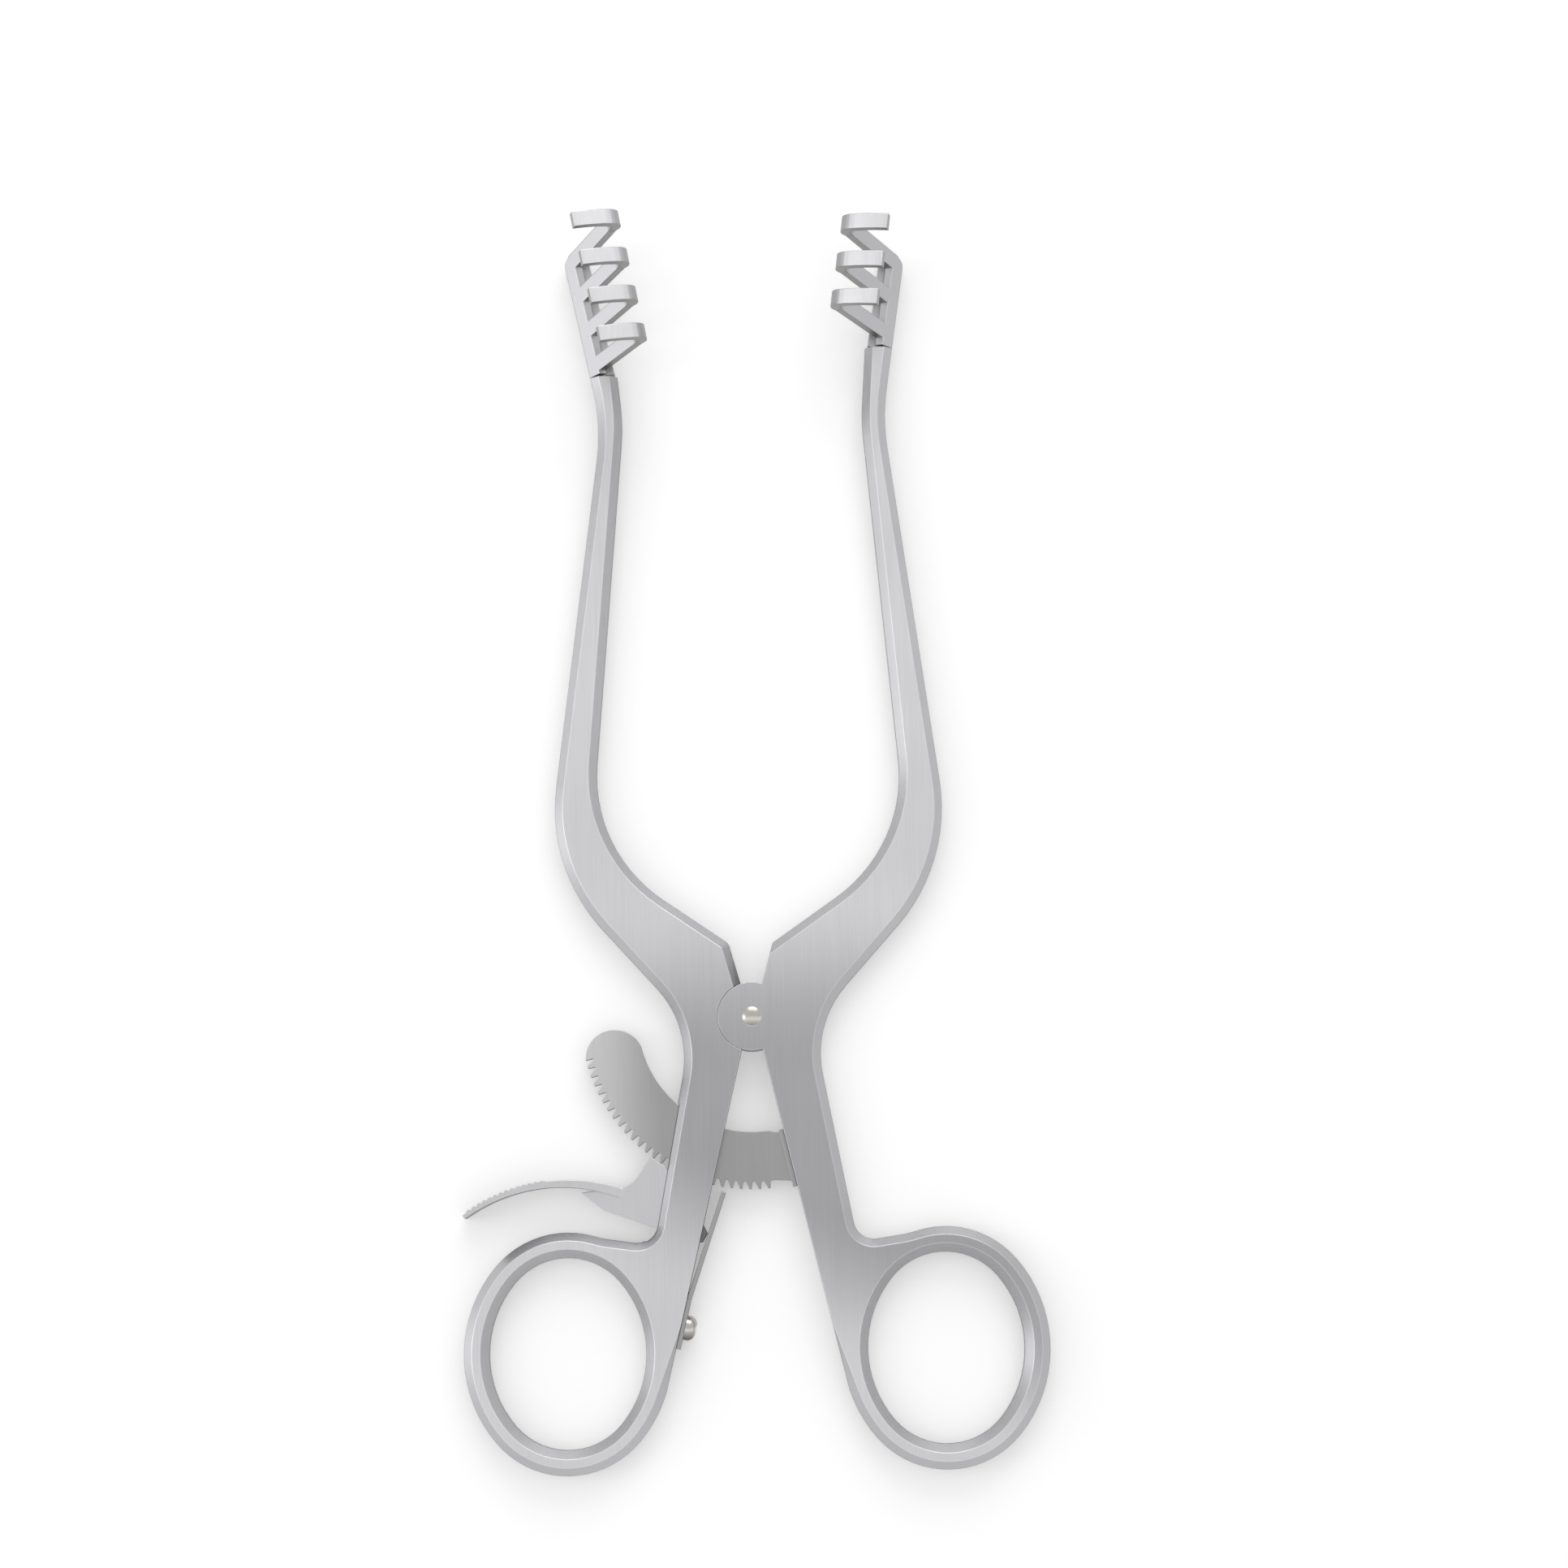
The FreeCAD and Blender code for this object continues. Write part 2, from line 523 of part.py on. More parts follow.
def cut_finger_hole(body, name, side):
    """The finger hole, an oval parallel to the ring's outer edge."""
    band = SIZE["ring_band"]
    top, sides = ring_top_radius - band, ring_side_radius - band
    sketch = new_sketch(body, f"{name}_hole_outline", offset=(FLAT, FLAT, SIZE["arm_thickness"]))
    draw_outline(sketch, mirrored([
        ring_meeting_point(band, -1, -1) + (sides,),
        ring_meeting_point(band, 1, -1) + (top,),
        ring_meeting_point(band, 1, 1) + (sides,),
        ring_meeting_point(band, -1, 1) + (top,),
    ], side))
    return extrude(body, "Pocket", f"{name}_hole", sketch, SIZE["arm_thickness"])


def is_flat(edge):
    """True for an edge that lies in the front or the back face of an arm."""
    box = edge.BoundBox
    top = SIZE["arm_thickness"].number - 0.001
    return box.ZLength < 0.001 and (box.ZMin < 0.001 or box.ZMin > top)


def bevel_arm(body, name, base, side):
    """Bevels both faces' edges, all but the handle's facing edge. Each bevel follows its smooth chain
    of edges from a straight one, given here by the corners at its ends."""
    chains = (("outer", "waist", "valley"), ("inner", "throat", "elbow_inner"))
    for chain, first, last in chains:
        ends = [FreeCAD.Vector(SIZE[f"{corner}_x"].number * side, SIZE[f"{corner}_y"].number, 0)
                for corner in (first, last)]
        line = Part.LineSegment(*ends).toShape()

        def on_line(edge):
            point = midpoint(edge)
            foot = Part.Vertex(point.x, point.y, 0)
            return is_flat(edge) and foot.distToShape(line)[0] < 0.05
        base = dress(body, "Chamfer", f"{name}_{chain}_bevel", base, edges_where(base, on_line),
                     SIZE["edge_bevel"])
    hole = cut_finger_hole(body, name, side)
    rim = edges_where(hole, lambda edge: is_flat(edge) and in_finger_hole(midpoint(edge), side))
    return dress(body, "Chamfer", f"{name}_hole_bevel", hole, rim, SIZE["ring_inner_bevel"])


def in_finger_hole(point, side):
    """True within a finger hole and on its edge."""
    wide = (SIZE["ring_half_width"] - SIZE["ring_band"]).number + 0.5
    tall = (SIZE["ring_half_height"] - SIZE["ring_band"]).number + 0.5
    x, y = point.x - SIZE["ring_x"].number * side, point.y - SIZE["ring_y"].number
    return math.hypot(x / wide, y / tall) < 1


def add_hinge_half(body, name, upper):
    """Halves the hinge: a clearance for the other arm's disc, and this arm's own disc."""
    half = mid_height - SIZE["layer_gap"] / 2
    cut_top = mid_height + SIZE["layer_gap"] / 2 if upper else SIZE["arm_thickness"]
    cut_depth = cut_top if upper else cut_top - half
    clearance = new_sketch(body, f"{name}_hub_clearance", offset=(FLAT, FLAT, cut_top))
    draw_circle(clearance, 0, 0, SIZE["hub_radius"] + SIZE["hub_gap"])
    extrude(body, "Pocket", f"{name}_hub_cut", clearance, cut_depth)
    disc_start = mid_height + SIZE["layer_gap"] / 2 if upper else FLAT
    disc = new_sketch(body, f"{name}_disc_outline", offset=(FLAT, FLAT, disc_start))
    draw_circle(disc, 0, 0, SIZE["hub_radius"])
    return extrude(body, "Pad", f"{name}_disc", disc, half)


def on_facing_edge_of(side, along, inward):
    """A point near a handle's facing edge: along it from the hinge, and inward into the handle."""
    lean_x, lean_y = sine(edge_lean), cosine(edge_lean)
    x = edge_start_x + lean_x * along + lean_y * inward
    y = edge_start_y - lean_y * along + lean_x * inward
    return x * side, y


def make_right_arm():
    body, base = make_arm_blank("right_arm", 1, SIZE["right_shank_end_y"])
    bevel_arm(body, "right_arm", base, 1)
    cut_facing_edge(body, "right_arm", 1)
    add_hinge_half(body, "right_arm", True)
    bore = new_sketch(body, "right_arm_bore_outline", offset=(FLAT, FLAT, SIZE["arm_thickness"]))
    draw_circle(bore, 0, 0, SIZE["screw_radius"])
    extrude(body, "Pocket", "right_arm_bore", bore, SIZE["arm_thickness"])
    mortise = new_sketch(body, "tenon_mortise_outline", offset=(
        edge_start_x, edge_start_y, mid_height + SIZE["rack_thickness"] / 2), angles=(edge_lean, 0, 0))
    draw_outline(mortise, tenon_corners(-SIZE["foot_flange"]))
    extrude(body, "Pocket", "tenon_mortise", mortise, SIZE["rack_thickness"])
    rivets = new_sketch(body, "right_arm_rivet_holes", offset=(FLAT, FLAT, SIZE["arm_thickness"]))
    for index, (x, y) in enumerate(rivet_places()):
        draw_circle(rivets, x, y, SIZE["rivet_radius"], f"hole{index}")
    extrude(body, "Pocket", "right_arm_rivet_bores", rivets, SIZE["arm_thickness"])
    return body


def tenon_corners(start):
    """The tenon of the ratchet bar, in axes along and across the right handle's facing edge."""
    top = -(SIZE["foot_start"] + SIZE["tenon_margin"])
    bottom = SIZE["tenon_margin"] - SIZE["foot_start"] - SIZE["foot_length"]
    depth = SIZE["tenon_depth"]
    return [(start, top), (start, bottom), (depth, bottom), (depth, top)]


def rivet_places():
    """Centres of the two rivets through the tenon."""
    quarter = SIZE["foot_length"] / 4
    return [on_facing_edge_of(1, SIZE["foot_start"] + quarter * share, SIZE["rivet_inset"])
            for share in (1, 3)]


def make_left_arm():
    body, base = make_arm_blank("left_arm", -1, SIZE["left_shank_end_y"])
    bevel_arm(body, "left_arm", base, -1)
    cut_facing_edge(body, "left_arm", -1)
    add_hinge_half(body, "left_arm", False)
    cut_hinge_bore(body)
    cut_ratchet_slot(body)
    cut_lever_cavity(body)
    pin = new_sketch(body, "lever_pin_hole_outline", offset=(FLAT, FLAT, SIZE["arm_thickness"]))
    draw_circle(pin, *lever_pin_centre(), SIZE["pin_radius"])
    extrude(body, "Pocket", "lever_pin_hole", pin, SIZE["arm_thickness"])
    cut_spring_screw_hole(body)
    return body


def cut_hinge_bore(body):
    """Running bore and countersink for the hinge screw, from the back."""
    fit = SIZE["screw_fit"]
    rim = SIZE["screw_head_recess"] + SIZE["screw_head_rim"]
    cone_top = SIZE["screw_head_recess"] + SIZE["screw_head_height"]
    sketch = new_sketch(body, "hinge_bore_profile", "XZ_Plane")
    draw_outline(sketch, [
        (0, 0),
        (SIZE["screw_head_radius"] + fit, 0),
        (SIZE["screw_head_radius"] + fit, rim + fit),
        (SIZE["screw_radius"] + fit, cone_top + fit),
        (SIZE["screw_radius"] + fit, SIZE["arm_thickness"]),
        (0, SIZE["arm_thickness"]),
    ])
    spin(body, "Groove", "hinge_bore", sketch)


def ring_point(radius, angle):
    """A point about the hinge, by radius and angle clockwise from straight down."""
    return -(radius * sine(angle)), -(radius * cosine(angle))


def lever_pin_centre():
    return on_facing_edge_of(-1, pin_place, SIZE["pin_inset"])


def cut_ratchet_slot(body):
    """The arc-shaped slot through the left handle in which the ratchet bar slides."""
    height = SIZE["rack_thickness"] + SIZE["slot_clearance"] * 2
    sketch = new_sketch(body, "ratchet_slot_outline",
                        offset=(FLAT, FLAT, mid_height + height / 2))
    inner = SIZE["rack_inner_radius"] - SIZE["slot_side_clearance"]
    outer = rack_tip_radius + SIZE["slot_side_clearance"]
    start, end = SIZE["slot_start_angle"], SIZE["slot_end_angle"]
    draw_outline(sketch, [
        ring_point(inner, start),
        ring_point(outer, start),
        ring_point(outer, end) + (-outer,),
        ring_point(inner, end),
        ring_point(inner, start) + (inner,),
    ][1:])
    extrude(body, "Pocket", "ratchet_slot", sketch, height)


def cut_lever_cavity(body):
    """The flat cavity through the left handle in which the release lever swings."""
    height = SIZE["lever_thickness"] + SIZE["slot_clearance"] * 2
    sketch = new_sketch(body, "lever_cavity_outline",
                        offset=(FLAT, FLAT, mid_height + height / 2))
    top, side = crest_place - SIZE["cavity_top_reach"], SIZE["cavity_side_inset"]
    bottom = heel_end_place + SIZE["heel_room"]
    opening_x, opening_y = on_facing_edge_of(-1, pin_place - SIZE["heel_opening_lead"],
                                             SIZE["heel_opening_inset"])
    foot_x, foot_y = on_facing_edge_of(-1, bottom, SIZE["heel_opening_inset"])
    draw_outline(sketch, [
        on_facing_edge_of(-1, top, side),
        on_facing_edge_of(-1, top, SIZE["cavity_top_inset"]),
        (opening_x, opening_y),
        (-edge_start_x, opening_y),
        (-edge_start_x, foot_y),
        (foot_x, foot_y),
        on_facing_edge_of(-1, bottom, side),
    ])
    extrude(body, "Pocket", "lever_cavity", sketch, height)


def cut_spring_screw_hole(body):
    """Blind hole for the spring's screw, square to the left handle's facing edge."""
    x, y = on_facing_edge_of(-1, SIZE["spring_screw_place"], FLAT)
    sketch = new_sketch(body, "spring_screw_hole_profile", offset=(x, y, mid_height),
                        angles=(-edge_lean, 0, 0))
    depth, mouth = -SIZE["spring_screw_length"], SIZE["spring_thickness"]
    draw_outline(sketch, [(depth, 0), (depth, SIZE["spring_screw_radius"]),
                          (mouth, SIZE["spring_screw_radius"]), (mouth, 0)])
    spin(body, "Groove", "spring_screw_hole", sketch, "H_Axis")


def make_hinge_screw():
    """Hinge screw: slotted countersunk head at the back, peened to a low dome on the front."""
    body = new_body("hinge_screw")
    start = SIZE["screw_head_recess"]
    radius, height = SIZE["screw_radius"], SIZE["screw_dome_height"]
    dome_radius = (radius * radius + height * height) / (height * 2)
    sketch = new_sketch(body, "hinge_screw_profile", "XZ_Plane")
    draw_outline(sketch, [
        (0, start),
        (SIZE["screw_head_radius"], start),
        (SIZE["screw_head_radius"], start + SIZE["screw_head_rim"]),
        (radius, start + SIZE["screw_head_height"]),
        (radius, SIZE["arm_thickness"]),
        (0, SIZE["arm_thickness"] + height, dome_radius),
    ])
    spin(body, "Revolution", "hinge_screw_turned", sketch)
    slot = new_sketch(body, "hinge_screw_slot_outline", offset=(FLAT, FLAT, start))
    draw_bar(slot, SIZE["screw_head_radius"] + SIZE["driver_slot_excess"], SIZE["driver_slot_width"] / 2)
    extrude(body, "Pocket", "hinge_screw_slot", slot, SIZE["driver_slot_depth"], reverse=True)
    return body


def draw_bar(sketch, half_length, half_width):
    draw_outline(sketch, [(half_length, half_width), (-half_length, half_width),
                          (-half_length, -half_width), (half_length, -half_width)])


def make_ratchet_bar():
    """Ratchet bar: an arc about the hinge with teeth on its outer edge, a shoulder and a tenon."""
    body = new_body("ratchet_bar")
    low = mid_height - SIZE["rack_thickness"] / 2
    inner, root = SIZE["rack_inner_radius"], SIZE["rack_root_radius"]
    foot_top = on_facing_edge_of(1, SIZE["foot_start"] + SIZE["tenon_margin"], FLAT)
    foot_bottom = on_facing_edge_of(
        1, SIZE["foot_start"] + SIZE["foot_length"] - SIZE["tenon_margin"], FLAT)
    middle = SIZE["first_tooth_angle"] - SIZE["tooth_pitch_angle"] / 2
    head = SIZE["first_tooth_angle"] + SIZE["tooth_pitch_angle"] * SIZE["tooth_count"]
    end_radius = (rack_tip_radius - inner) / 2 + SIZE["rack_end_excess"]
    sketch = new_sketch(body, "ratchet_bar_outline", offset=(FLAT, FLAT, low))
    draw_outline(sketch, [
        ring_point(inner, head) + (-inner,),
        ring_point(rack_tip_radius, head) + (end_radius,),
        ring_point(root, head),
        ring_point(root, middle) + (root,),
        foot_bottom,
        foot_top,
        ring_point(inner, middle),
    ])
    extrude(body, "Pad", "ratchet_bar_arc", sketch, SIZE["rack_thickness"])

    axes = (edge_start_x, edge_start_y)
    flange = new_sketch(body, "foot_flange_outline", angles=(edge_lean, 0, 0),
                        offset=axes + (mid_height,))
    draw_outline(flange, [(-SIZE["foot_flange"], -SIZE["foot_start"]),
                          (-SIZE["foot_flange"], -(SIZE["foot_start"] + SIZE["foot_length"])),
                          (0, -(SIZE["foot_start"] + SIZE["foot_length"])),
                          (0, -SIZE["foot_start"])])
    extrude(body, "Pad", "foot_flange", flange, SIZE["foot_flange_height"], midplane=True)
    tenon = new_sketch(body, "foot_tenon_outline", angles=(edge_lean, 0, 0), offset=axes + (low,))
    draw_outline(tenon, tenon_corners(-SIZE["foot_flange"] / 2))
    extrude(body, "Pad", "foot_tenon", tenon, SIZE["rack_thickness"])
    rivets = new_sketch(body, "tenon_rivet_holes", offset=(FLAT, FLAT, SIZE["arm_thickness"]))
    for index, (x, y) in enumerate(rivet_places()):
        draw_circle(rivets, x, y, SIZE["rivet_radius"], f"hole{index}")
    extrude(body, "Pocket", "tenon_rivet_bores", rivets, SIZE["arm_thickness"])
    add_teeth(body, low)
    return body


def add_teeth(body, low):
    """Saw teeth: steep towards the foot, so that the bar can't be drawn back past the pawl."""
    first, pitch = SIZE["first_tooth_angle"], SIZE["tooth_pitch_angle"]
    buried = SIZE["rack_root_radius"] - SIZE["slot_side_clearance"]
    sketch = new_sketch(body, "tooth_outline", offset=(FLAT, FLAT, low))
    draw_outline(sketch, [
        ring_point(buried, first),
        ring_point(buried, first + pitch * SIZE["tooth_foot"]),
        ring_point(rack_tip_radius, first + pitch * SIZE["tooth_crest_end"]),
        ring_point(rack_tip_radius, first + pitch * SIZE["tooth_crest_start"]),
    ])
    tooth = extrude(body, "Pad", "first_tooth", sketch, SIZE["rack_thickness"])
    pattern = body.newObject("PartDesign::PolarPattern", "teeth")
    pattern.Originals = [tooth]
    pattern.Axis = (origin_feature(body, "Z_Axis"), [""])
    pattern.Reversed = True
    bind(pattern, "Occurrences", SIZE["tooth_count"])
    bind(pattern, "Angle", pitch * (SIZE["tooth_count"] - 1))
    body.Tip = pattern
    doc.recompute()


def make_cylinder(name, x, y, radius, height):
    pin = doc.addObject("Part::Cylinder", name)
    bind(pin, "Radius", radius)
    bind(pin, "Height", height)
    place(pin, x, y, FLAT, FLAT)
    return pin


def make_ratchet_rivets():
    """Two flush rivets through the tenon, ground level with the handle."""
    pins = [make_cylinder(f"rivet_{index}", x, y, SIZE["rivet_radius"], SIZE["arm_thickness"])
            for index, (x, y) in enumerate(rivet_places(), start=1)]
    group = doc.addObject("Part::Compound", "ratchet_rivets")
    group.Links = pins
    return group


def make_lever_pin():
    return make_cylinder("lever_pin", *lever_pin_centre(), SIZE["pin_radius"],
                         SIZE["arm_thickness"])


def spring_face(along):
    """Distance of the spring's inner face from the handle's edge, at a place along the handle."""
    return tangent(SIZE["spring_lift_angle"]) * (SIZE["spring_bend"] - along)


def make_release_lever():
    """Release lever: pawl, heel and curved thumb strip, in one piece."""
    body = new_body("release_lever")
    low = mid_height - SIZE["lever_thickness"] / 2
    crest = rack_tip_radius + SIZE["pawl_clearance"]
    heel_tip = on_facing_edge_of(-1, heel_place, SIZE["heel_clearance"] - spring_face(heel_place))
    heel_x, heel_y = on_facing_edge_of(-1, heel_end_place, -SIZE["heel_rise"])
    under_place = pin_place + SIZE["lever_under_reach"]
    plate = new_sketch(body, "lever_plate_outline", offset=(FLAT, FLAT, low))
    draw_outline(plate, [
        ring_point(crest, SIZE["pawl_start_angle"]),
        ring_point(crest, SIZE["pawl_end_angle"]) + (-crest,),
        (SIZE["web_top_x"], SIZE["web_top_y"]),
        (SIZE["web_tip_x"], SIZE["web_tip_y"]),
        (SIZE["web_under_x"], SIZE["web_under_y"]),
        on_facing_edge_of(-1, under_place, SIZE["lever_exit_inset"]),
        on_facing_edge_of(-1, under_place, SIZE["pin_inset"]),
        (heel_x - SIZE["heel_sole"], heel_y),
        (heel_x, heel_y),
        heel_tip,
        on_facing_edge_of(-1, pin_place, SIZE["heel_root_inset"]),
        ring_point(crest + SIZE["pawl_back_depth"], SIZE["pawl_back_angle"]),
    ])
    base = extrude(body, "Pad", "lever_plate", plate, SIZE["lever_thickness"])
    round_corner(body, "lever_hollow", base, SIZE["web_top_x"], SIZE["web_top_y"],
                 SIZE["web_radius"])
    add_thumb_strip(body)
    bore = new_sketch(body, "lever_bore_outline", offset=(FLAT, FLAT, SIZE["arm_thickness"]))
    draw_circle(bore, *lever_pin_centre(), SIZE["pin_radius"] + SIZE["pin_fit"])
    extrude(body, "Pocket", "lever_bore", bore, SIZE["arm_thickness"])
    return body


def add_thumb_strip(body):
    """The thumb strip: an arc of sheet, wider than the lever is thick, with ridges near its tip."""
    root = (SIZE["thumb_root_x"], SIZE["thumb_root_y"])
    tip = (SIZE["thumb_tip_x"], SIZE["thumb_tip_y"])
    radius = SIZE["thumb_arc_radius"]
    inner = radius - SIZE["thumb_thickness"]
    across, down = tip[0] - root[0], tip[1] - root[1]
    chord = square_root(across * across + down * down)
    reach = square_root(radius * radius - chord * chord / 4)
    centre_x = (root[0] + tip[0]) / 2 - down / chord * reach
    centre_y = (root[1] + tip[1]) / 2 + across / chord * reach

    def towards(point, distance):
        """The place on the line from the centre of curvature to a point, at a distance from the centre."""
        share = distance / radius
        return centre_x + (point[0] - centre_x) * share, centre_y + (point[1] - centre_y) * share

    def from_tip(angle):
        """A place on the upper side, at an angle from the tip about the centre of curvature."""
        x, y = tip[0] - centre_x, tip[1] - centre_y
        return (centre_x + x * cosine(angle) + y * sine(angle),
                centre_y + y * cosine(angle) - x * sine(angle))

    ridges = [SIZE["grip_start_angle"] + SIZE["grip_pitch_angle"] * number
              for number in range(int(SIZE["grip_count"].number), -1, -1)]
    corners = [root, from_tip(ridges[0]) + (radius,)]
    corners += [from_tip(angle) + (SIZE["grip_ridge_radius"],) for angle in ridges[1:]]
    corners += [tip + (radius,), towards(tip, radius - SIZE["thumb_tip_thickness"]),
                towards(root, inner) + (-inner,)]
    sketch = new_sketch(body, "thumb_outline", offset=(FLAT, FLAT, mid_height))
    draw_outline(sketch, corners)
    extrude(body, "Pad", "thumb_strip", sketch, SIZE["thumb_width"], midplane=True)
    # The cuts reach past the strip on both sides of the middle plane
    reach = -(root[1] + tip[1]) * 2
    for name, up in (("upper", 1), ("lower", -1)):
        narrow, wide = SIZE["lever_thickness"] / 2 * up, SIZE["thumb_width"] / 2 * up
        flare = new_sketch(body, f"thumb_{name}_flare_outline", "XZ_Plane")
        draw_outline(flare, [
            (root[0] + SIZE["thumb_thickness"], mid_height + narrow),
            (root[0] + SIZE["thumb_thickness"], mid_height + SIZE["thumb_width"] * up),
            (root[0] - SIZE["thumb_flare"], mid_height + SIZE["thumb_width"] * up),
            (root[0] - SIZE["thumb_flare"], mid_height + wide),
            (root[0], mid_height + narrow),
        ])
        extrude(body, "Pocket", f"thumb_{name}_flare", flare, reach, midplane=True)


def make_spring_foot():
    """The foot of the leaf spring, clamped flat on the left handle's facing edge."""
    body = new_body("spring_foot")
    place(body, -edge_start_x, edge_start_y, mid_height, -edge_lean)
    thickness = SIZE["spring_thickness"]
    top, end = -(SIZE["spring_bend"] + SIZE["spring_cut"]), -SIZE["spring_end"]
    sketch = new_sketch(body, "spring_foot_outline")
    draw_outline(sketch, [(0, end), (thickness, end), (thickness, top), (0, top)])
    extrude(body, "Pad", "spring_foot_strip", sketch, SIZE["spring_width"], midplane=True)
    hole = new_sketch(body, "spring_foot_hole_outline", "YZ_Plane")
    draw_circle(hole, -SIZE["spring_screw_place"], 0, SIZE["spring_screw_radius"])
    extrude(body, "Pocket", "spring_foot_hole", hole, thickness * 2, midplane=True)
    return body


def make_leaf_spring():
    """The blade of the leaf spring, from its bend to its free end, standing off to the heel."""
    body = new_body("leaf_spring")
    place(body, -edge_start_x, edge_start_y, mid_height, -edge_lean)
    thickness, bend = SIZE["spring_thickness"], SIZE["spring_bend"]
    free, lift = crest_place + SIZE["spring_end_gap"], SIZE["spring_lift_angle"]
    free_x = spring_face(free)
    sketch = new_sketch(body, "leaf_spring_outline")
    draw_outline(sketch, [
        (0, -bend),
        (thickness, -bend),
        (free_x + thickness * cosine(lift), -free - thickness * sine(lift)),
        (free_x, -free),
    ])
    extrude(body, "Pad", "leaf_spring_blade", sketch, SIZE["spring_width"], midplane=True)
    return body


def make_spring_screw():
    """Slotted pan-head screw that clamps the leaf spring."""
    body = new_body("spring_screw")
    x, y = on_facing_edge_of(-1, SIZE["spring_screw_place"], FLAT)
    place(body, x, y, mid_height, -edge_lean)
    seat = SIZE["spring_thickness"]
    top = seat + SIZE["spring_head_height"]
    rounding = SIZE["spring_head_rounding"]
    sketch = new_sketch(body, "spring_screw_profile")
    draw_outline(sketch, [
        (-SIZE["spring_screw_length"], 0),
        (-SIZE["spring_screw_length"], SIZE["spring_screw_radius"]),
        (seat, SIZE["spring_screw_radius"]),
        (seat, SIZE["spring_head_radius"]),
        (top - rounding, SIZE["spring_head_radius"]),
        (top, SIZE["spring_head_radius"] - rounding, -rounding),
        (top, 0),
    ])
    spin(body, "Revolution", "spring_screw_turned", sketch, "H_Axis")
    slot = new_sketch(body, "spring_screw_slot_outline", offset=(FLAT, FLAT, FLAT))
    reach = SIZE["spring_head_radius"] + SIZE["driver_slot_excess"]
    floor, mouth = top - SIZE["driver_slot_depth"], top + SIZE["driver_slot_excess"]
    draw_outline(slot, [(floor, reach), (floor, -reach), (mouth, -reach), (mouth, reach)])
    extrude(body, "Pocket", "spring_screw_slot", slot, SIZE["driver_slot_width"], midplane=True)
    return body


def make_rake(side_name, side):
    """A rake: a bar that carries on from the shank, folded into a sloping comb of hooked prongs."""
    name = f"{side_name}_rake"
    prongs, first_root = SIZE[f"{side_name}_prongs"], SIZE[f"{side_name}_first_root"]
    inward = -side
    body = new_body(name)
    outer_x = (SIZE["shank_end_x"] + SIZE["shank_end_width"]) * side
    place(body, outer_x, SIZE[f"{side_name}_shank_end_y"], FLAT,
          SIZE[f"{side_name}_rake_lean_angle"] * inward)
    rise, thickness = SIZE["comb_rise_angle"], SIZE["comb_thickness"]
    crease = SIZE["arm_thickness"] - SIZE["edge_bevel"]
    length = first_root + SIZE["prong_pitch"] * (prongs - 1) + SIZE["spine_overhang"]
    width = SIZE["spine_width"]
    bar_top = SIZE["under_bar_thickness"]
    under_x, under_z = thickness * sine(rise), crease - thickness * cosine(rise)
    section = new_sketch(body, f"{name}_section", "XZ_Plane")
    corners = [
        (FLAT, FLAT),
        (SIZE["under_bar_width"], FLAT),
        (SIZE["under_bar_width"], bar_top),
        (under_x + (bar_top - under_z) / tangent(rise), bar_top),
        (under_x + width * cosine(rise), under_z + width * sine(rise)),
        (width * cosine(rise), crease + width * sine(rise)),
        (FLAT, crease),
    ]
    draw_outline(section, [(x * inward, z) for x, z in corners])
    base = extrude(body, "Pad", f"{name}_spine", section, length, reverse=True)
    round_corner(body, f"{name}_spine_end", base, 0, length, SIZE["spine_corner_radius"])

    comb = body.newObject("PartDesign::Plane", f"{name}_comb_plane")
    comb.AttachmentSupport = [(origin_feature(body, "XY_Plane"), "")]
    comb.MapMode = "FlatFace"
    set_offset(comb, (FLAT, FLAT, crease), (FLAT, rise * -inward, FLAT))
    doc.recompute()
    for number in range(int(prongs.number)):
        root = first_root + SIZE["prong_pitch"] * number
        lean = SIZE[f"{side_name}_first_lean_angle"] + SIZE[f"{side_name}_fan_angle"] * number
        add_prong(body, f"{name}_prong_{number}", comb, inward, root, lean,
                  SIZE[f"{side_name}_leg_length"])
    return body


def add_prong(body, name, comb, inward, root, lean, leg_length):
    """A prong: an oblique leg in the comb's plane, and a hook bent back over it at a small skew."""
    bend = SIZE["hook_radius"] * tangent(SIZE["hook_turn_angle"] / 2)
    straight = leg_length - bend
    half = SIZE["prong_width"] / 2 / cosine(lean)
    drift = tangent(lean) * straight
    leg = new_sketch(body, f"{name}_leg_outline", support=comb,
                     offset=(SIZE["prong_root"] * inward, root, FLAT))
    draw_outline(leg, mirrored([(FLAT, -half), (straight, drift - half), (straight, drift + half),
                                (FLAT, half)], inward))
    extrude(body, "Pad", f"{name}_leg", leg, SIZE["comb_thickness"], reverse=True)
    turn = (QUARTER_TURN - SIZE["hook_skew_angle"]) * inward - QUARTER_TURN
    hook = new_sketch(body, f"{name}_hook_outline", support=comb,
                      offset=((SIZE["prong_root"] + straight) * inward, root + drift, FLAT),
                      angles=(turn, FLAT, QUARTER_TURN))
    draw_outline(hook, hook_corners())
    extrude(body, "Pad", f"{name}_hook", hook, SIZE["prong_width"], midplane=True)


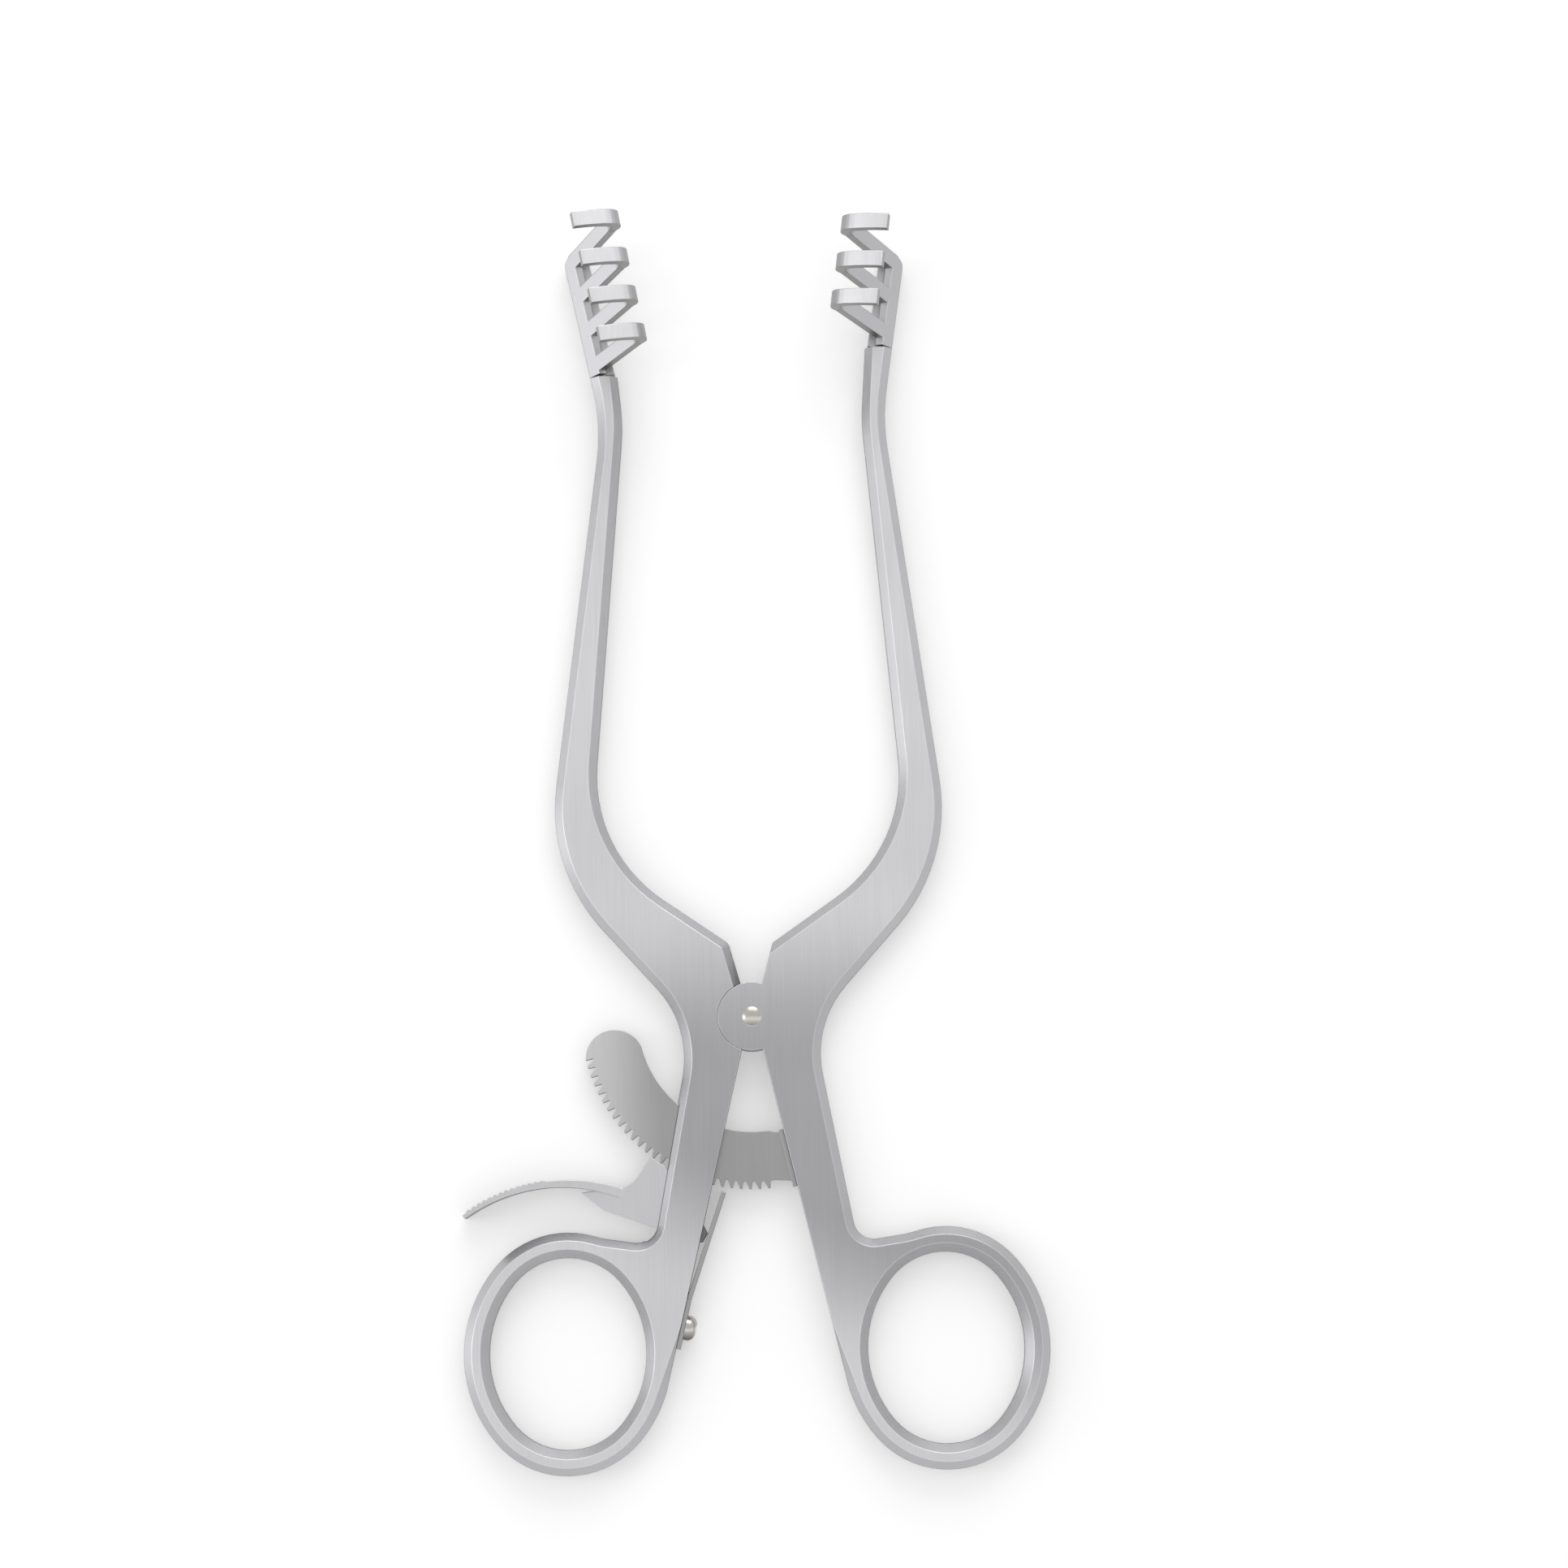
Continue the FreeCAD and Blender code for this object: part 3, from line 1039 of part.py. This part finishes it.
def hook_corners():
    """A hook's side view, from the end of the leg: a bend, and a tip that curls back over the leg."""
    turn, curl = SIZE["hook_turn_angle"], SIZE["hook_curl_angle"]
    thickness, outer, curve = SIZE["comb_thickness"], SIZE["hook_radius"], SIZE["hook_curve_radius"]
    low = -thickness
    seat = -SIZE["prong_width"] / 4
    bend_y = low + outer
    curl_x, curl_y = (outer - curve) * sine(turn), bend_y - (outer - curve) * cosine(turn)

    def on_bend(radius):
        return radius * sine(turn), bend_y - radius * cosine(turn)

    def tip(radius):
        return curl_x + radius * sine(turn + curl), curl_y - radius * cosine(turn + curl)

    return [
        (seat, low),
        (FLAT, low),
        on_bend(outer) + (outer,),
        tip(curve) + (curve,),
        tip(curve - thickness),
        on_bend(outer - thickness) + (thickness - curve,),
        (FLAT, FLAT) + (thickness - outer,),
        (seat, FLAT),
    ]


def check_document(parts):
    """Stops if any object failed to build or a piece isn't a sound solid."""
    doc.recompute()
    failed = [item.Name for item in doc.Objects if {"Invalid", "Error"} & set(item.State)]
    unsound = [part.Label for part in parts
               if part.Shape.isNull() or not part.Shape.isValid() or not part.Shape.Solids]
    if failed or unsound:
        raise RuntimeError(f"failed objects {failed}, unsound pieces {unsound}")


def main():
    parts = [
        make_left_arm(),
        make_rake("left", -1),
        make_right_arm(),
        make_rake("right", 1),
        make_hinge_screw(),
        make_ratchet_bar(),
        make_ratchet_rivets(),
        make_release_lever(),
        make_lever_pin(),
        make_spring_foot(),
        make_leaf_spring(),
        make_spring_screw(),
    ]
    check_document(parts)
    os.makedirs("parts", exist_ok=True)
    for part in parts:
        part.Shape.exportStep(f"parts/{part.Label}.step")
        box = part.Shape.BoundBox
        print(f"{part.Label}: {len(part.Shape.Solids)} solids, {part.Shape.Volume:.2f} mm3, "
              f"x {box.XMin:.2f} to {box.XMax:.2f}, y {box.YMin:.2f} to {box.YMax:.2f}, "
              f"z {box.ZMin:.2f} to {box.ZMax:.2f}")


main()
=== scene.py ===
"""Looks of the self retaining retractor: satin stainless steel on a white sheet, seen from above."""
import math

import bmesh
import bpy
from mathutils import Matrix, Vector


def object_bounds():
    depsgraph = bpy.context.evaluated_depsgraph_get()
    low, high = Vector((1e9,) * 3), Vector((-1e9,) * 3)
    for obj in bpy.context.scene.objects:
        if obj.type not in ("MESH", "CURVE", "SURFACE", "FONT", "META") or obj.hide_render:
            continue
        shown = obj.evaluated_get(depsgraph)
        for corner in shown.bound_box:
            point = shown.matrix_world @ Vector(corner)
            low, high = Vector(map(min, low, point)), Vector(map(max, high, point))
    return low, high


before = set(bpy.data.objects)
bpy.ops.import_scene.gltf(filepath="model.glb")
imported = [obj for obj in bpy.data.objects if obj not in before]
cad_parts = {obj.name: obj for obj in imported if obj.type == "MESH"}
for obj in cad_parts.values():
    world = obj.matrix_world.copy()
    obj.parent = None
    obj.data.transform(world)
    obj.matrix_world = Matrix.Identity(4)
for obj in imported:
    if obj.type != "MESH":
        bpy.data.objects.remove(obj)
cad_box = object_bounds()
MM = 0.001
EDGE_ROUNDING = 0.22 * MM
PIN_SURROUND = 1.5 * MM
# Brush lines are drawn coarser than real ones, so that they show
BRUSH_SPACING = 0.14 * MM
BRUSH_LENGTH = 14 * MM
PATCH_SIZE = 20 * MM
BEAD_GRAIN = 0.2 * MM
MOP_MARKS = 0.3 * MM
RELIEF = 0.01 * MM
FLOOR_DROP = 0.0001
FLOOR_HALF_WIDTH = 1.5


def linear(hex_colour):
    """An sRGB hex colour as linear values with alpha."""
    parts = [int(hex_colour[i:i + 2], 16) / 255 for i in (1, 3, 5)]
    return [c / 12.92 if c <= 0.04045 else ((c + 0.055) / 1.055) ** 2.4 for c in parts] + [1]


def add(tree, kind, place=(0, 0), settings=None, **links):
    """A node with its settings, its values and its links. Underscores in a name stand for spaces."""
    node = tree.nodes.new(kind)
    node.location = place
    for name, value in (settings or {}).items():
        setattr(node, name, value)
    for name, value in links.items():
        socket = node.inputs[int(name[1:])] if name[1:].isdigit() else node.inputs[name.replace("_", " ")]
        if isinstance(value, bpy.types.NodeSocket):
            tree.links.new(value, socket)
        else:
            socket.default_value = value
    return node


def new_material(name):
    """An empty material and its node tree."""
    material = bpy.data.materials.new(name)
    material.use_nodes = True
    material.node_tree.nodes.clear()
    return material, material.node_tree


def add_ramp(tree, place, factor, stops):
    """A colour ramp. Each stop is a position and an sRGB hex colour."""
    ramp = add(tree, "ShaderNodeValToRGB", place, _0=factor)
    elements = ramp.color_ramp.elements
    while len(elements) < len(stops):
        elements.new(0.5)
    for element, (position, colour) in zip(elements, stops):
        element.position = position
        element.color = linear(colour)
    return ramp.outputs[0]


def add_slow_change(tree, place, value, start, end):
    """0 before start, 1 after end and a smooth step between."""
    return add(tree, "ShaderNodeMapRange", place, {"interpolation_type": "SMOOTHSTEP"},
               Value=value, _1=start, _2=end, _3=0.0, _4=1.0).outputs[0]


def add_painted_light_part(tree, position, stretches):
    """1 where painted light falls on the steel and 0 where painted shade falls. Along each direction of
    the stretches, in millimetres, it turns from painted shade at the start to painted light at the end."""
    bright = None
    for number, (direction, start, end) in enumerate(stretches):
        height = -600 - 200 * number
        along = add(tree, "ShaderNodeVectorMath", (-1400, height), {"operation": "DOT_PRODUCT"},
                    _0=position, _1=direction)
        change = add_slow_change(tree, (-1200, height), along.outputs["Value"], start * MM, end * MM)
        if bright is None:
            bright = change
        else:
            bright = add(tree, "ShaderNodeMath", (-1000, height), {"operation": "MAXIMUM"},
                         _0=bright, _1=change).outputs[0]
    return bright


def add_rounded_normal(tree, position):
    """The normal with every edge rounded, but for the flush pins, whose joints don't show."""
    rounded = add(tree, "ShaderNodeBevel", (-2000, 400), {"samples": 6}, Radius=EDGE_ROUNDING)
    plain = add(tree, "ShaderNodeNewGeometry", (-2000, 600))
    flat_place = add(tree, "ShaderNodeVectorMath", (-2200, 200), {"operation": "MULTIPLY"},
                     _0=position, _1=(1, 1, 0))
    near = None
    for number, (x, y) in enumerate(FLUSH_PINS):
        gap = add(tree, "ShaderNodeVectorMath", (-2000, 200 - 150 * number), {"operation": "DISTANCE"},
                  _0=flat_place.outputs[0], _1=(x * MM, y * MM, 0))
        close = add(tree, "ShaderNodeMath", (-1850, 200 - 150 * number), {"operation": "LESS_THAN"},
                    _0=gap.outputs["Value"], _1=PIN_SURROUND)
        near = close if near is None else add(
            tree, "ShaderNodeMath", (-1700, 200 - 150 * number), {"operation": "MAXIMUM"},
            _0=near.outputs[0], _1=close.outputs[0])
    mix = add(tree, "ShaderNodeMix", (-1600, 400), {"data_type": "VECTOR"}, _0=near.outputs[0],
              _4=rounded.outputs[0], _5=plain.outputs["Normal"])
    return mix.outputs[1]


def make_satin_steel(name, stops, painted_shade_stops, stretches, roughness, turn=0.0):
    """Martensitic stainless steel, brushed by hand and then glass-beaded to a soft satin.

    Stops paint its light and shade by how far a surface faces the front: painted shade on the walls, then
    the ground bevels, a painted highlight on the rounded edges, and the flats. Stretches say where the
    steel gets painted light and where it gets painted shade.
    """
    material, tree = new_material(name)
    coordinates = add(tree, "ShaderNodeTexCoord", (-2400, 0))
    rounded = add_rounded_normal(tree, coordinates.outputs["Object"])
    facing = add(tree, "ShaderNodeSeparateXYZ", (-1400, 400), Vector=rounded)
    # Lit and shaded copies of the tone by facing, mixed by where painted light and painted shade fall
    bright = add_ramp(tree, (-1200, 500), facing.outputs["Z"], stops)
    shaded_tone = add_ramp(tree, (-1200, 250), facing.outputs["Z"], painted_shade_stops)
    tone = add(tree, "ShaderNodeMix", (-800, 400), {"data_type": "RGBA"},
               _0=add_painted_light_part(tree, coordinates.outputs["Object"], stretches),
               _6=shaded_tone, _7=bright)
    # The lines of the brush run along the stroke, and turn tells its direction
    stroke = add(tree, "ShaderNodeMapping", (-1400, 100), Vector=coordinates.outputs["Object"],
                 Rotation=(0, 0, turn), Scale=(1 / BRUSH_SPACING, 1 / BRUSH_LENGTH, 1 / BRUSH_SPACING))
    lines = add(tree, "ShaderNodeTexNoise", (-1200, 0), Vector=stroke.outputs[0],
                Scale=1.0, Detail=2.0, Roughness=0.5)
    # The tone drifts in wide patches
    patches = add(tree, "ShaderNodeTexNoise", (-1200, -200), Vector=coordinates.outputs["Object"],
                  Scale=1 / PATCH_SIZE, Detail=1.0, Roughness=0.4)
    # Bead blasting leaves a fine grain
    grain = add(tree, "ShaderNodeTexNoise", (-1200, -400), Vector=coordinates.outputs["Object"],
                Scale=1 / BEAD_GRAIN, Detail=2.0, Roughness=0.6)
    streaks = add(tree, "ShaderNodeMath", (-800, 0), {"operation": "MULTIPLY_ADD"},
                  _0=lines.outputs["Fac"], _1=0.16, _2=0.82)
    mottle = add(tree, "ShaderNodeMath", (-600, 0), {"operation": "MULTIPLY_ADD"},
                 _0=patches.outputs["Fac"], _1=0.2, _2=streaks.outputs[0])
    shade = add(tree, "ShaderNodeVectorMath", (-400, 300), {"operation": "SCALE"},
                _0=tone.outputs[2], Scale=mottle.outputs[0])
    rough = add(tree, "ShaderNodeMapRange", (-400, -150), Value=lines.outputs["Fac"],
                _1=0.3, _2=0.7, _3=roughness - 0.05, _4=roughness + 0.06)
    height = add(tree, "ShaderNodeMath", (-600, -400), {"operation": "MULTIPLY_ADD"},
                 _0=lines.outputs["Fac"], _1=0.6, _2=grain.outputs["Fac"])
    bump = add(tree, "ShaderNodeBump", (-400, -400), Strength=0.25, Distance=RELIEF,
               Height=height.outputs[0], Normal=rounded)
    shader = add(tree, "ShaderNodeBsdfPrincipled", (-100, 0), Base_Color=shade.outputs[0],
                 Metallic=1.0, Roughness=rough.outputs[0], Normal=bump.outputs[0])
    add(tree, "ShaderNodeOutputMaterial", (200, 0), Surface=shader.outputs[0])
    return material


def make_polished_steel(name, roughness):
    """Stainless steel, turned and polished and warm in tone, with a painted highlight on the side towards
    the prongs, painted shade on the lower flank, and fine marks of the mop."""
    material, tree = new_material(name)
    coordinates = add(tree, "ShaderNodeTexCoord", (-1100, 0))
    # Painted highlight and painted shade by which way the surface faces along the prongs
    facing = add(tree, "ShaderNodeSeparateXYZ", (-900, 200), Vector=coordinates.outputs["Normal"])
    lift = add(tree, "ShaderNodeMapRange", (-700, 200), Value=facing.outputs["Y"],
               _1=-1.0, _2=1.0, _3=0.0, _4=1.0)
    shade = add_ramp(tree, (-500, 200), lift.outputs[0], (
        (0.1, "#6F6C66"), (0.3, "#A6A39D"), (0.42, "#D2D0CB"), (0.52, "#AEABA5"), (0.8, "#B6B3AD")))
    # Marks of the polishing mop
    marks = add(tree, "ShaderNodeTexNoise", (-900, -100), Vector=coordinates.outputs["Object"],
                Scale=1 / MOP_MARKS, Detail=2.0, Roughness=0.5)
    rough = add(tree, "ShaderNodeMapRange", (-700, -100), Value=marks.outputs["Fac"],
                _1=0.3, _2=0.7, _3=roughness - 0.04, _4=roughness + 0.05)
    bump = add(tree, "ShaderNodeBump", (-700, -350), Strength=0.15, Distance=RELIEF,
               Height=marks.outputs["Fac"])
    shader = add(tree, "ShaderNodeBsdfPrincipled", (-200, 0), Base_Color=shade,
                 Metallic=1.0, Roughness=rough.outputs[0], Normal=bump.outputs[0])
    add(tree, "ShaderNodeOutputMaterial", (100, 0), Surface=shader.outputs[0])
    return material


def dress(node, material):
    """Gives a CAD node its material."""
    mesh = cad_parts[node].data
    mesh.materials.clear()
    mesh.materials.append(material)


# Centres of the lever's pin and of the bar's two rivets, in millimetres
FLUSH_PINS = ((-11.6, -29.6), (7.4, -19.5), (8.5, -24.0))
# Painted shade lies on the arms from about the hinge to the rings. The bar has painted light at its free
# end, and the lever's heel has painted shade inside the handles' gap.
ARM_PAINTED_LIGHT_STRETCHES = (((0, 1, 0), -8, 20), ((-0.5, -1, 0), 24, 50))
BAR_PAINTED_LIGHT_STRETCHES = (((-1, 0, 0), 13, 27),)
LEVER_PAINTED_LIGHT_STRETCHES = (((-1, 0, 0), 10.4, 11.4),)
# Painted light and shade by facing, from walls in painted shade through bevels and edges with a painted
# highlight to flats
PAINTED_LIT_STOPS = ((0.0, "#888886"), (0.6, "#A6A6A8"), (0.73, "#BABABD"), (0.82, "#E0E0E2"),
                (0.95, "#D8D8DA"), (0.995, "#CBCBCD"))
PAINTED_SHADED_STOPS = ((0.0, "#7A7A79"), (0.6, "#999A9B"), (0.73, "#B2B2B5"), (0.82, "#D2D2D4"),
              (0.95, "#BFBFC2"), (0.995, "#A0A0A3"))
BAR_PAINTED_LIT = ((0.0, "#7C7C7A"), (0.7, "#A8A8A9"), (0.9, "#CFCFD0"), (0.995, "#C6C6C7"))
BAR_PAINTED_SHADED = ((0.0, "#666664"), (0.7, "#8C8C8D"), (0.9, "#B2B2B3"), (0.995, "#9A9A9B"))
LEVER_PAINTED_LIT = ((0.0, "#6E6E6D"), (0.6, "#8F8F90"), (0.82, "#D6D6D8"), (0.95, "#D0D0D2"),
               (0.995, "#C2C2C4"))
# The lever's heel in painted shade, dark inside the handles' gap
HEEL_PAINTED_SHADE = ((0.0, "#5E5E5D"), (0.7, "#6C6C6C"), (0.995, "#727273"))
SPRING_PAINTED_SHADING = ((0.0, "#6E6E6D"), (0.7, "#8E8E8F"), (0.9, "#A6A6A7"), (0.995, "#A0A0A1"))
satin = make_satin_steel("satin stainless steel", PAINTED_LIT_STOPS, PAINTED_SHADED_STOPS, ARM_PAINTED_LIGHT_STRETCHES, 0.36)
satin_bar = make_satin_steel("satin stainless steel, ratchet bar", BAR_PAINTED_LIT, BAR_PAINTED_SHADED,
                             BAR_PAINTED_LIGHT_STRETCHES, 0.38, 0.9)
satin_lever = make_satin_steel("satin stainless steel, lever", LEVER_PAINTED_LIT, HEEL_PAINTED_SHADE,
                               LEVER_PAINTED_LIGHT_STRETCHES, 0.36, 1.4)
spring_steel = make_satin_steel("brushed spring steel", SPRING_PAINTED_SHADING, SPRING_PAINTED_SHADING,
                                LEVER_PAINTED_LIGHT_STRETCHES, 0.34)
polished = make_polished_steel("polished stainless steel", 0.24)

for node in ("left_arm", "right_arm", "left_rake", "right_rake", "lever_pin", "ratchet_rivets"):
    dress(node, satin)
dress("release_lever", satin_lever)
dress("ratchet_bar", satin_bar)
dress("leaf_spring", spring_steel)
dress("spring_foot", spring_steel)
dress("hinge_screw", polished)
dress("spring_screw", polished)


def make_floor():
    """White sheet, pure white to the camera but for the instrument's faint shadow."""
    mesh = bpy.data.meshes.new("white_sheet")
    shape = bmesh.new()
    bmesh.ops.create_grid(shape, x_segments=1, y_segments=1, size=FLOOR_HALF_WIDTH,
                          matrix=Matrix.Translation((0, 0, cad_box[0][2] - FLOOR_DROP)))
    shape.to_mesh(mesh)
    shape.free()
    floor = bpy.data.objects.new("white_sheet", mesh)
    bpy.context.collection.objects.link(floor)
    material, tree = new_material("white matt sheet")
    path = add(tree, "ShaderNodeLightPath", (-700, 200))
    seen = add(tree, "ShaderNodeMath", (-500, 200), {"operation": "MAXIMUM"},
               _0=path.outputs["Is Camera Ray"], _1=path.outputs["Is Glossy Ray"])
    seen = add(tree, "ShaderNodeMath", (-350, 200), {"operation": "MAXIMUM"},
               _0=seen.outputs[0], _1=path.outputs["Is Transmission Ray"])
    glow = add(tree, "ShaderNodeMath", (-200, 200), {"operation": "MULTIPLY"},
               _0=seen.outputs[0], _1=0.35)
    light = add(tree, "ShaderNodeEmission", (0, 200), Color=(1, 1, 1, 1), Strength=glow.outputs[0])
    matt = add(tree, "ShaderNodeBsdfDiffuse", (0, 0), Color=linear("#F2F2F2"))
    both = add(tree, "ShaderNodeAddShader", (200, 100), _0=light.outputs[0], _1=matt.outputs[0])
    add(tree, "ShaderNodeOutputMaterial", (400, 100), Surface=both.outputs[0])
    mesh.materials.append(material)


def make_world():
    """Even studio light all round, white to the camera."""
    world = bpy.data.worlds.new("studio")
    bpy.context.scene.world = world
    world.use_nodes = True
    tree = world.node_tree
    tree.nodes.clear()
    path = add(tree, "ShaderNodeLightPath", (-800, 200))
    seen = add(tree, "ShaderNodeMath", (-600, 200), {"operation": "MAXIMUM"},
               _0=path.outputs["Is Camera Ray"], _1=path.outputs["Is Glossy Ray"])
    seen = add(tree, "ShaderNodeMath", (-500, 100), {"operation": "MAXIMUM"},
               _0=seen.outputs[0], _1=path.outputs["Is Transmission Ray"])
    strength = add(tree, "ShaderNodeMapRange", (-400, 0), Value=seen.outputs[0],
                   _1=0.0, _2=1.0, _3=0.6, _4=1.0)
    light = add(tree, "ShaderNodeBackground", (-200, 0), Color=(1, 1, 1, 1),
                Strength=strength.outputs[0])
    add(tree, "ShaderNodeOutputWorld", (0, 0), Surface=light.outputs[0])


def make_lamp(name, place, target, width, height, power):
    """A soft rectangular lamp that points at its target."""
    data = bpy.data.lights.new(name, "AREA")
    data.shape = "RECTANGLE"
    data.size, data.size_y = width, height
    data.energy = power
    lamp = bpy.data.objects.new(name, data)
    lamp.location = place
    lamp.rotation_euler = (Vector(target) - Vector(place)).to_track_quat("-Z", "Y").to_euler()
    bpy.context.collection.objects.link(lamp)


# The photograph's camera looks down from 0.6 m, from a little below the rings' side of the middle
LEAN = math.radians(-1.0)
EYE = Vector((5.1, -40.0, 600.0)) * MM
AIM = Vector((5.1, 37.0, 4.6)) * MM
FOCAL_PIXELS = 4639.56
PHOTO_PIXELS = 1932
SENSOR = 36.0


def make_camera():
    """A camera above the instrument, turned a little so that the instrument leans left."""
    turn = Matrix.Rotation(LEAN, 4, "Z")
    forward = (AIM - EYE).normalized()
    right = Vector((1, 0, 0))
    up = right.cross(forward)
    basis = Matrix((right, up, -forward)).transposed().to_4x4()
    data = bpy.data.cameras.new("camera")
    data.sensor_width = SENSOR
    data.lens = FOCAL_PIXELS / PHOTO_PIXELS * SENSOR
    data.clip_start = 0.01
    camera = bpy.data.objects.new("camera", data)
    camera.matrix_world = turn @ Matrix.Translation(EYE) @ basis
    bpy.context.collection.objects.link(camera)
    bpy.context.scene.camera = camera


make_floor()
make_world()
make_lamp("overhead softbox", (0.1, 0.9, 0.5), (0, 0.03, 0), 0.9, 0.5, 3)
make_lamp("side softbox", (-0.9, 0.0, 0.35), (0, 0.03, 0), 0.4, 0.8, 1.5)
make_camera()
bpy.context.scene.view_settings.view_transform = "Standard"
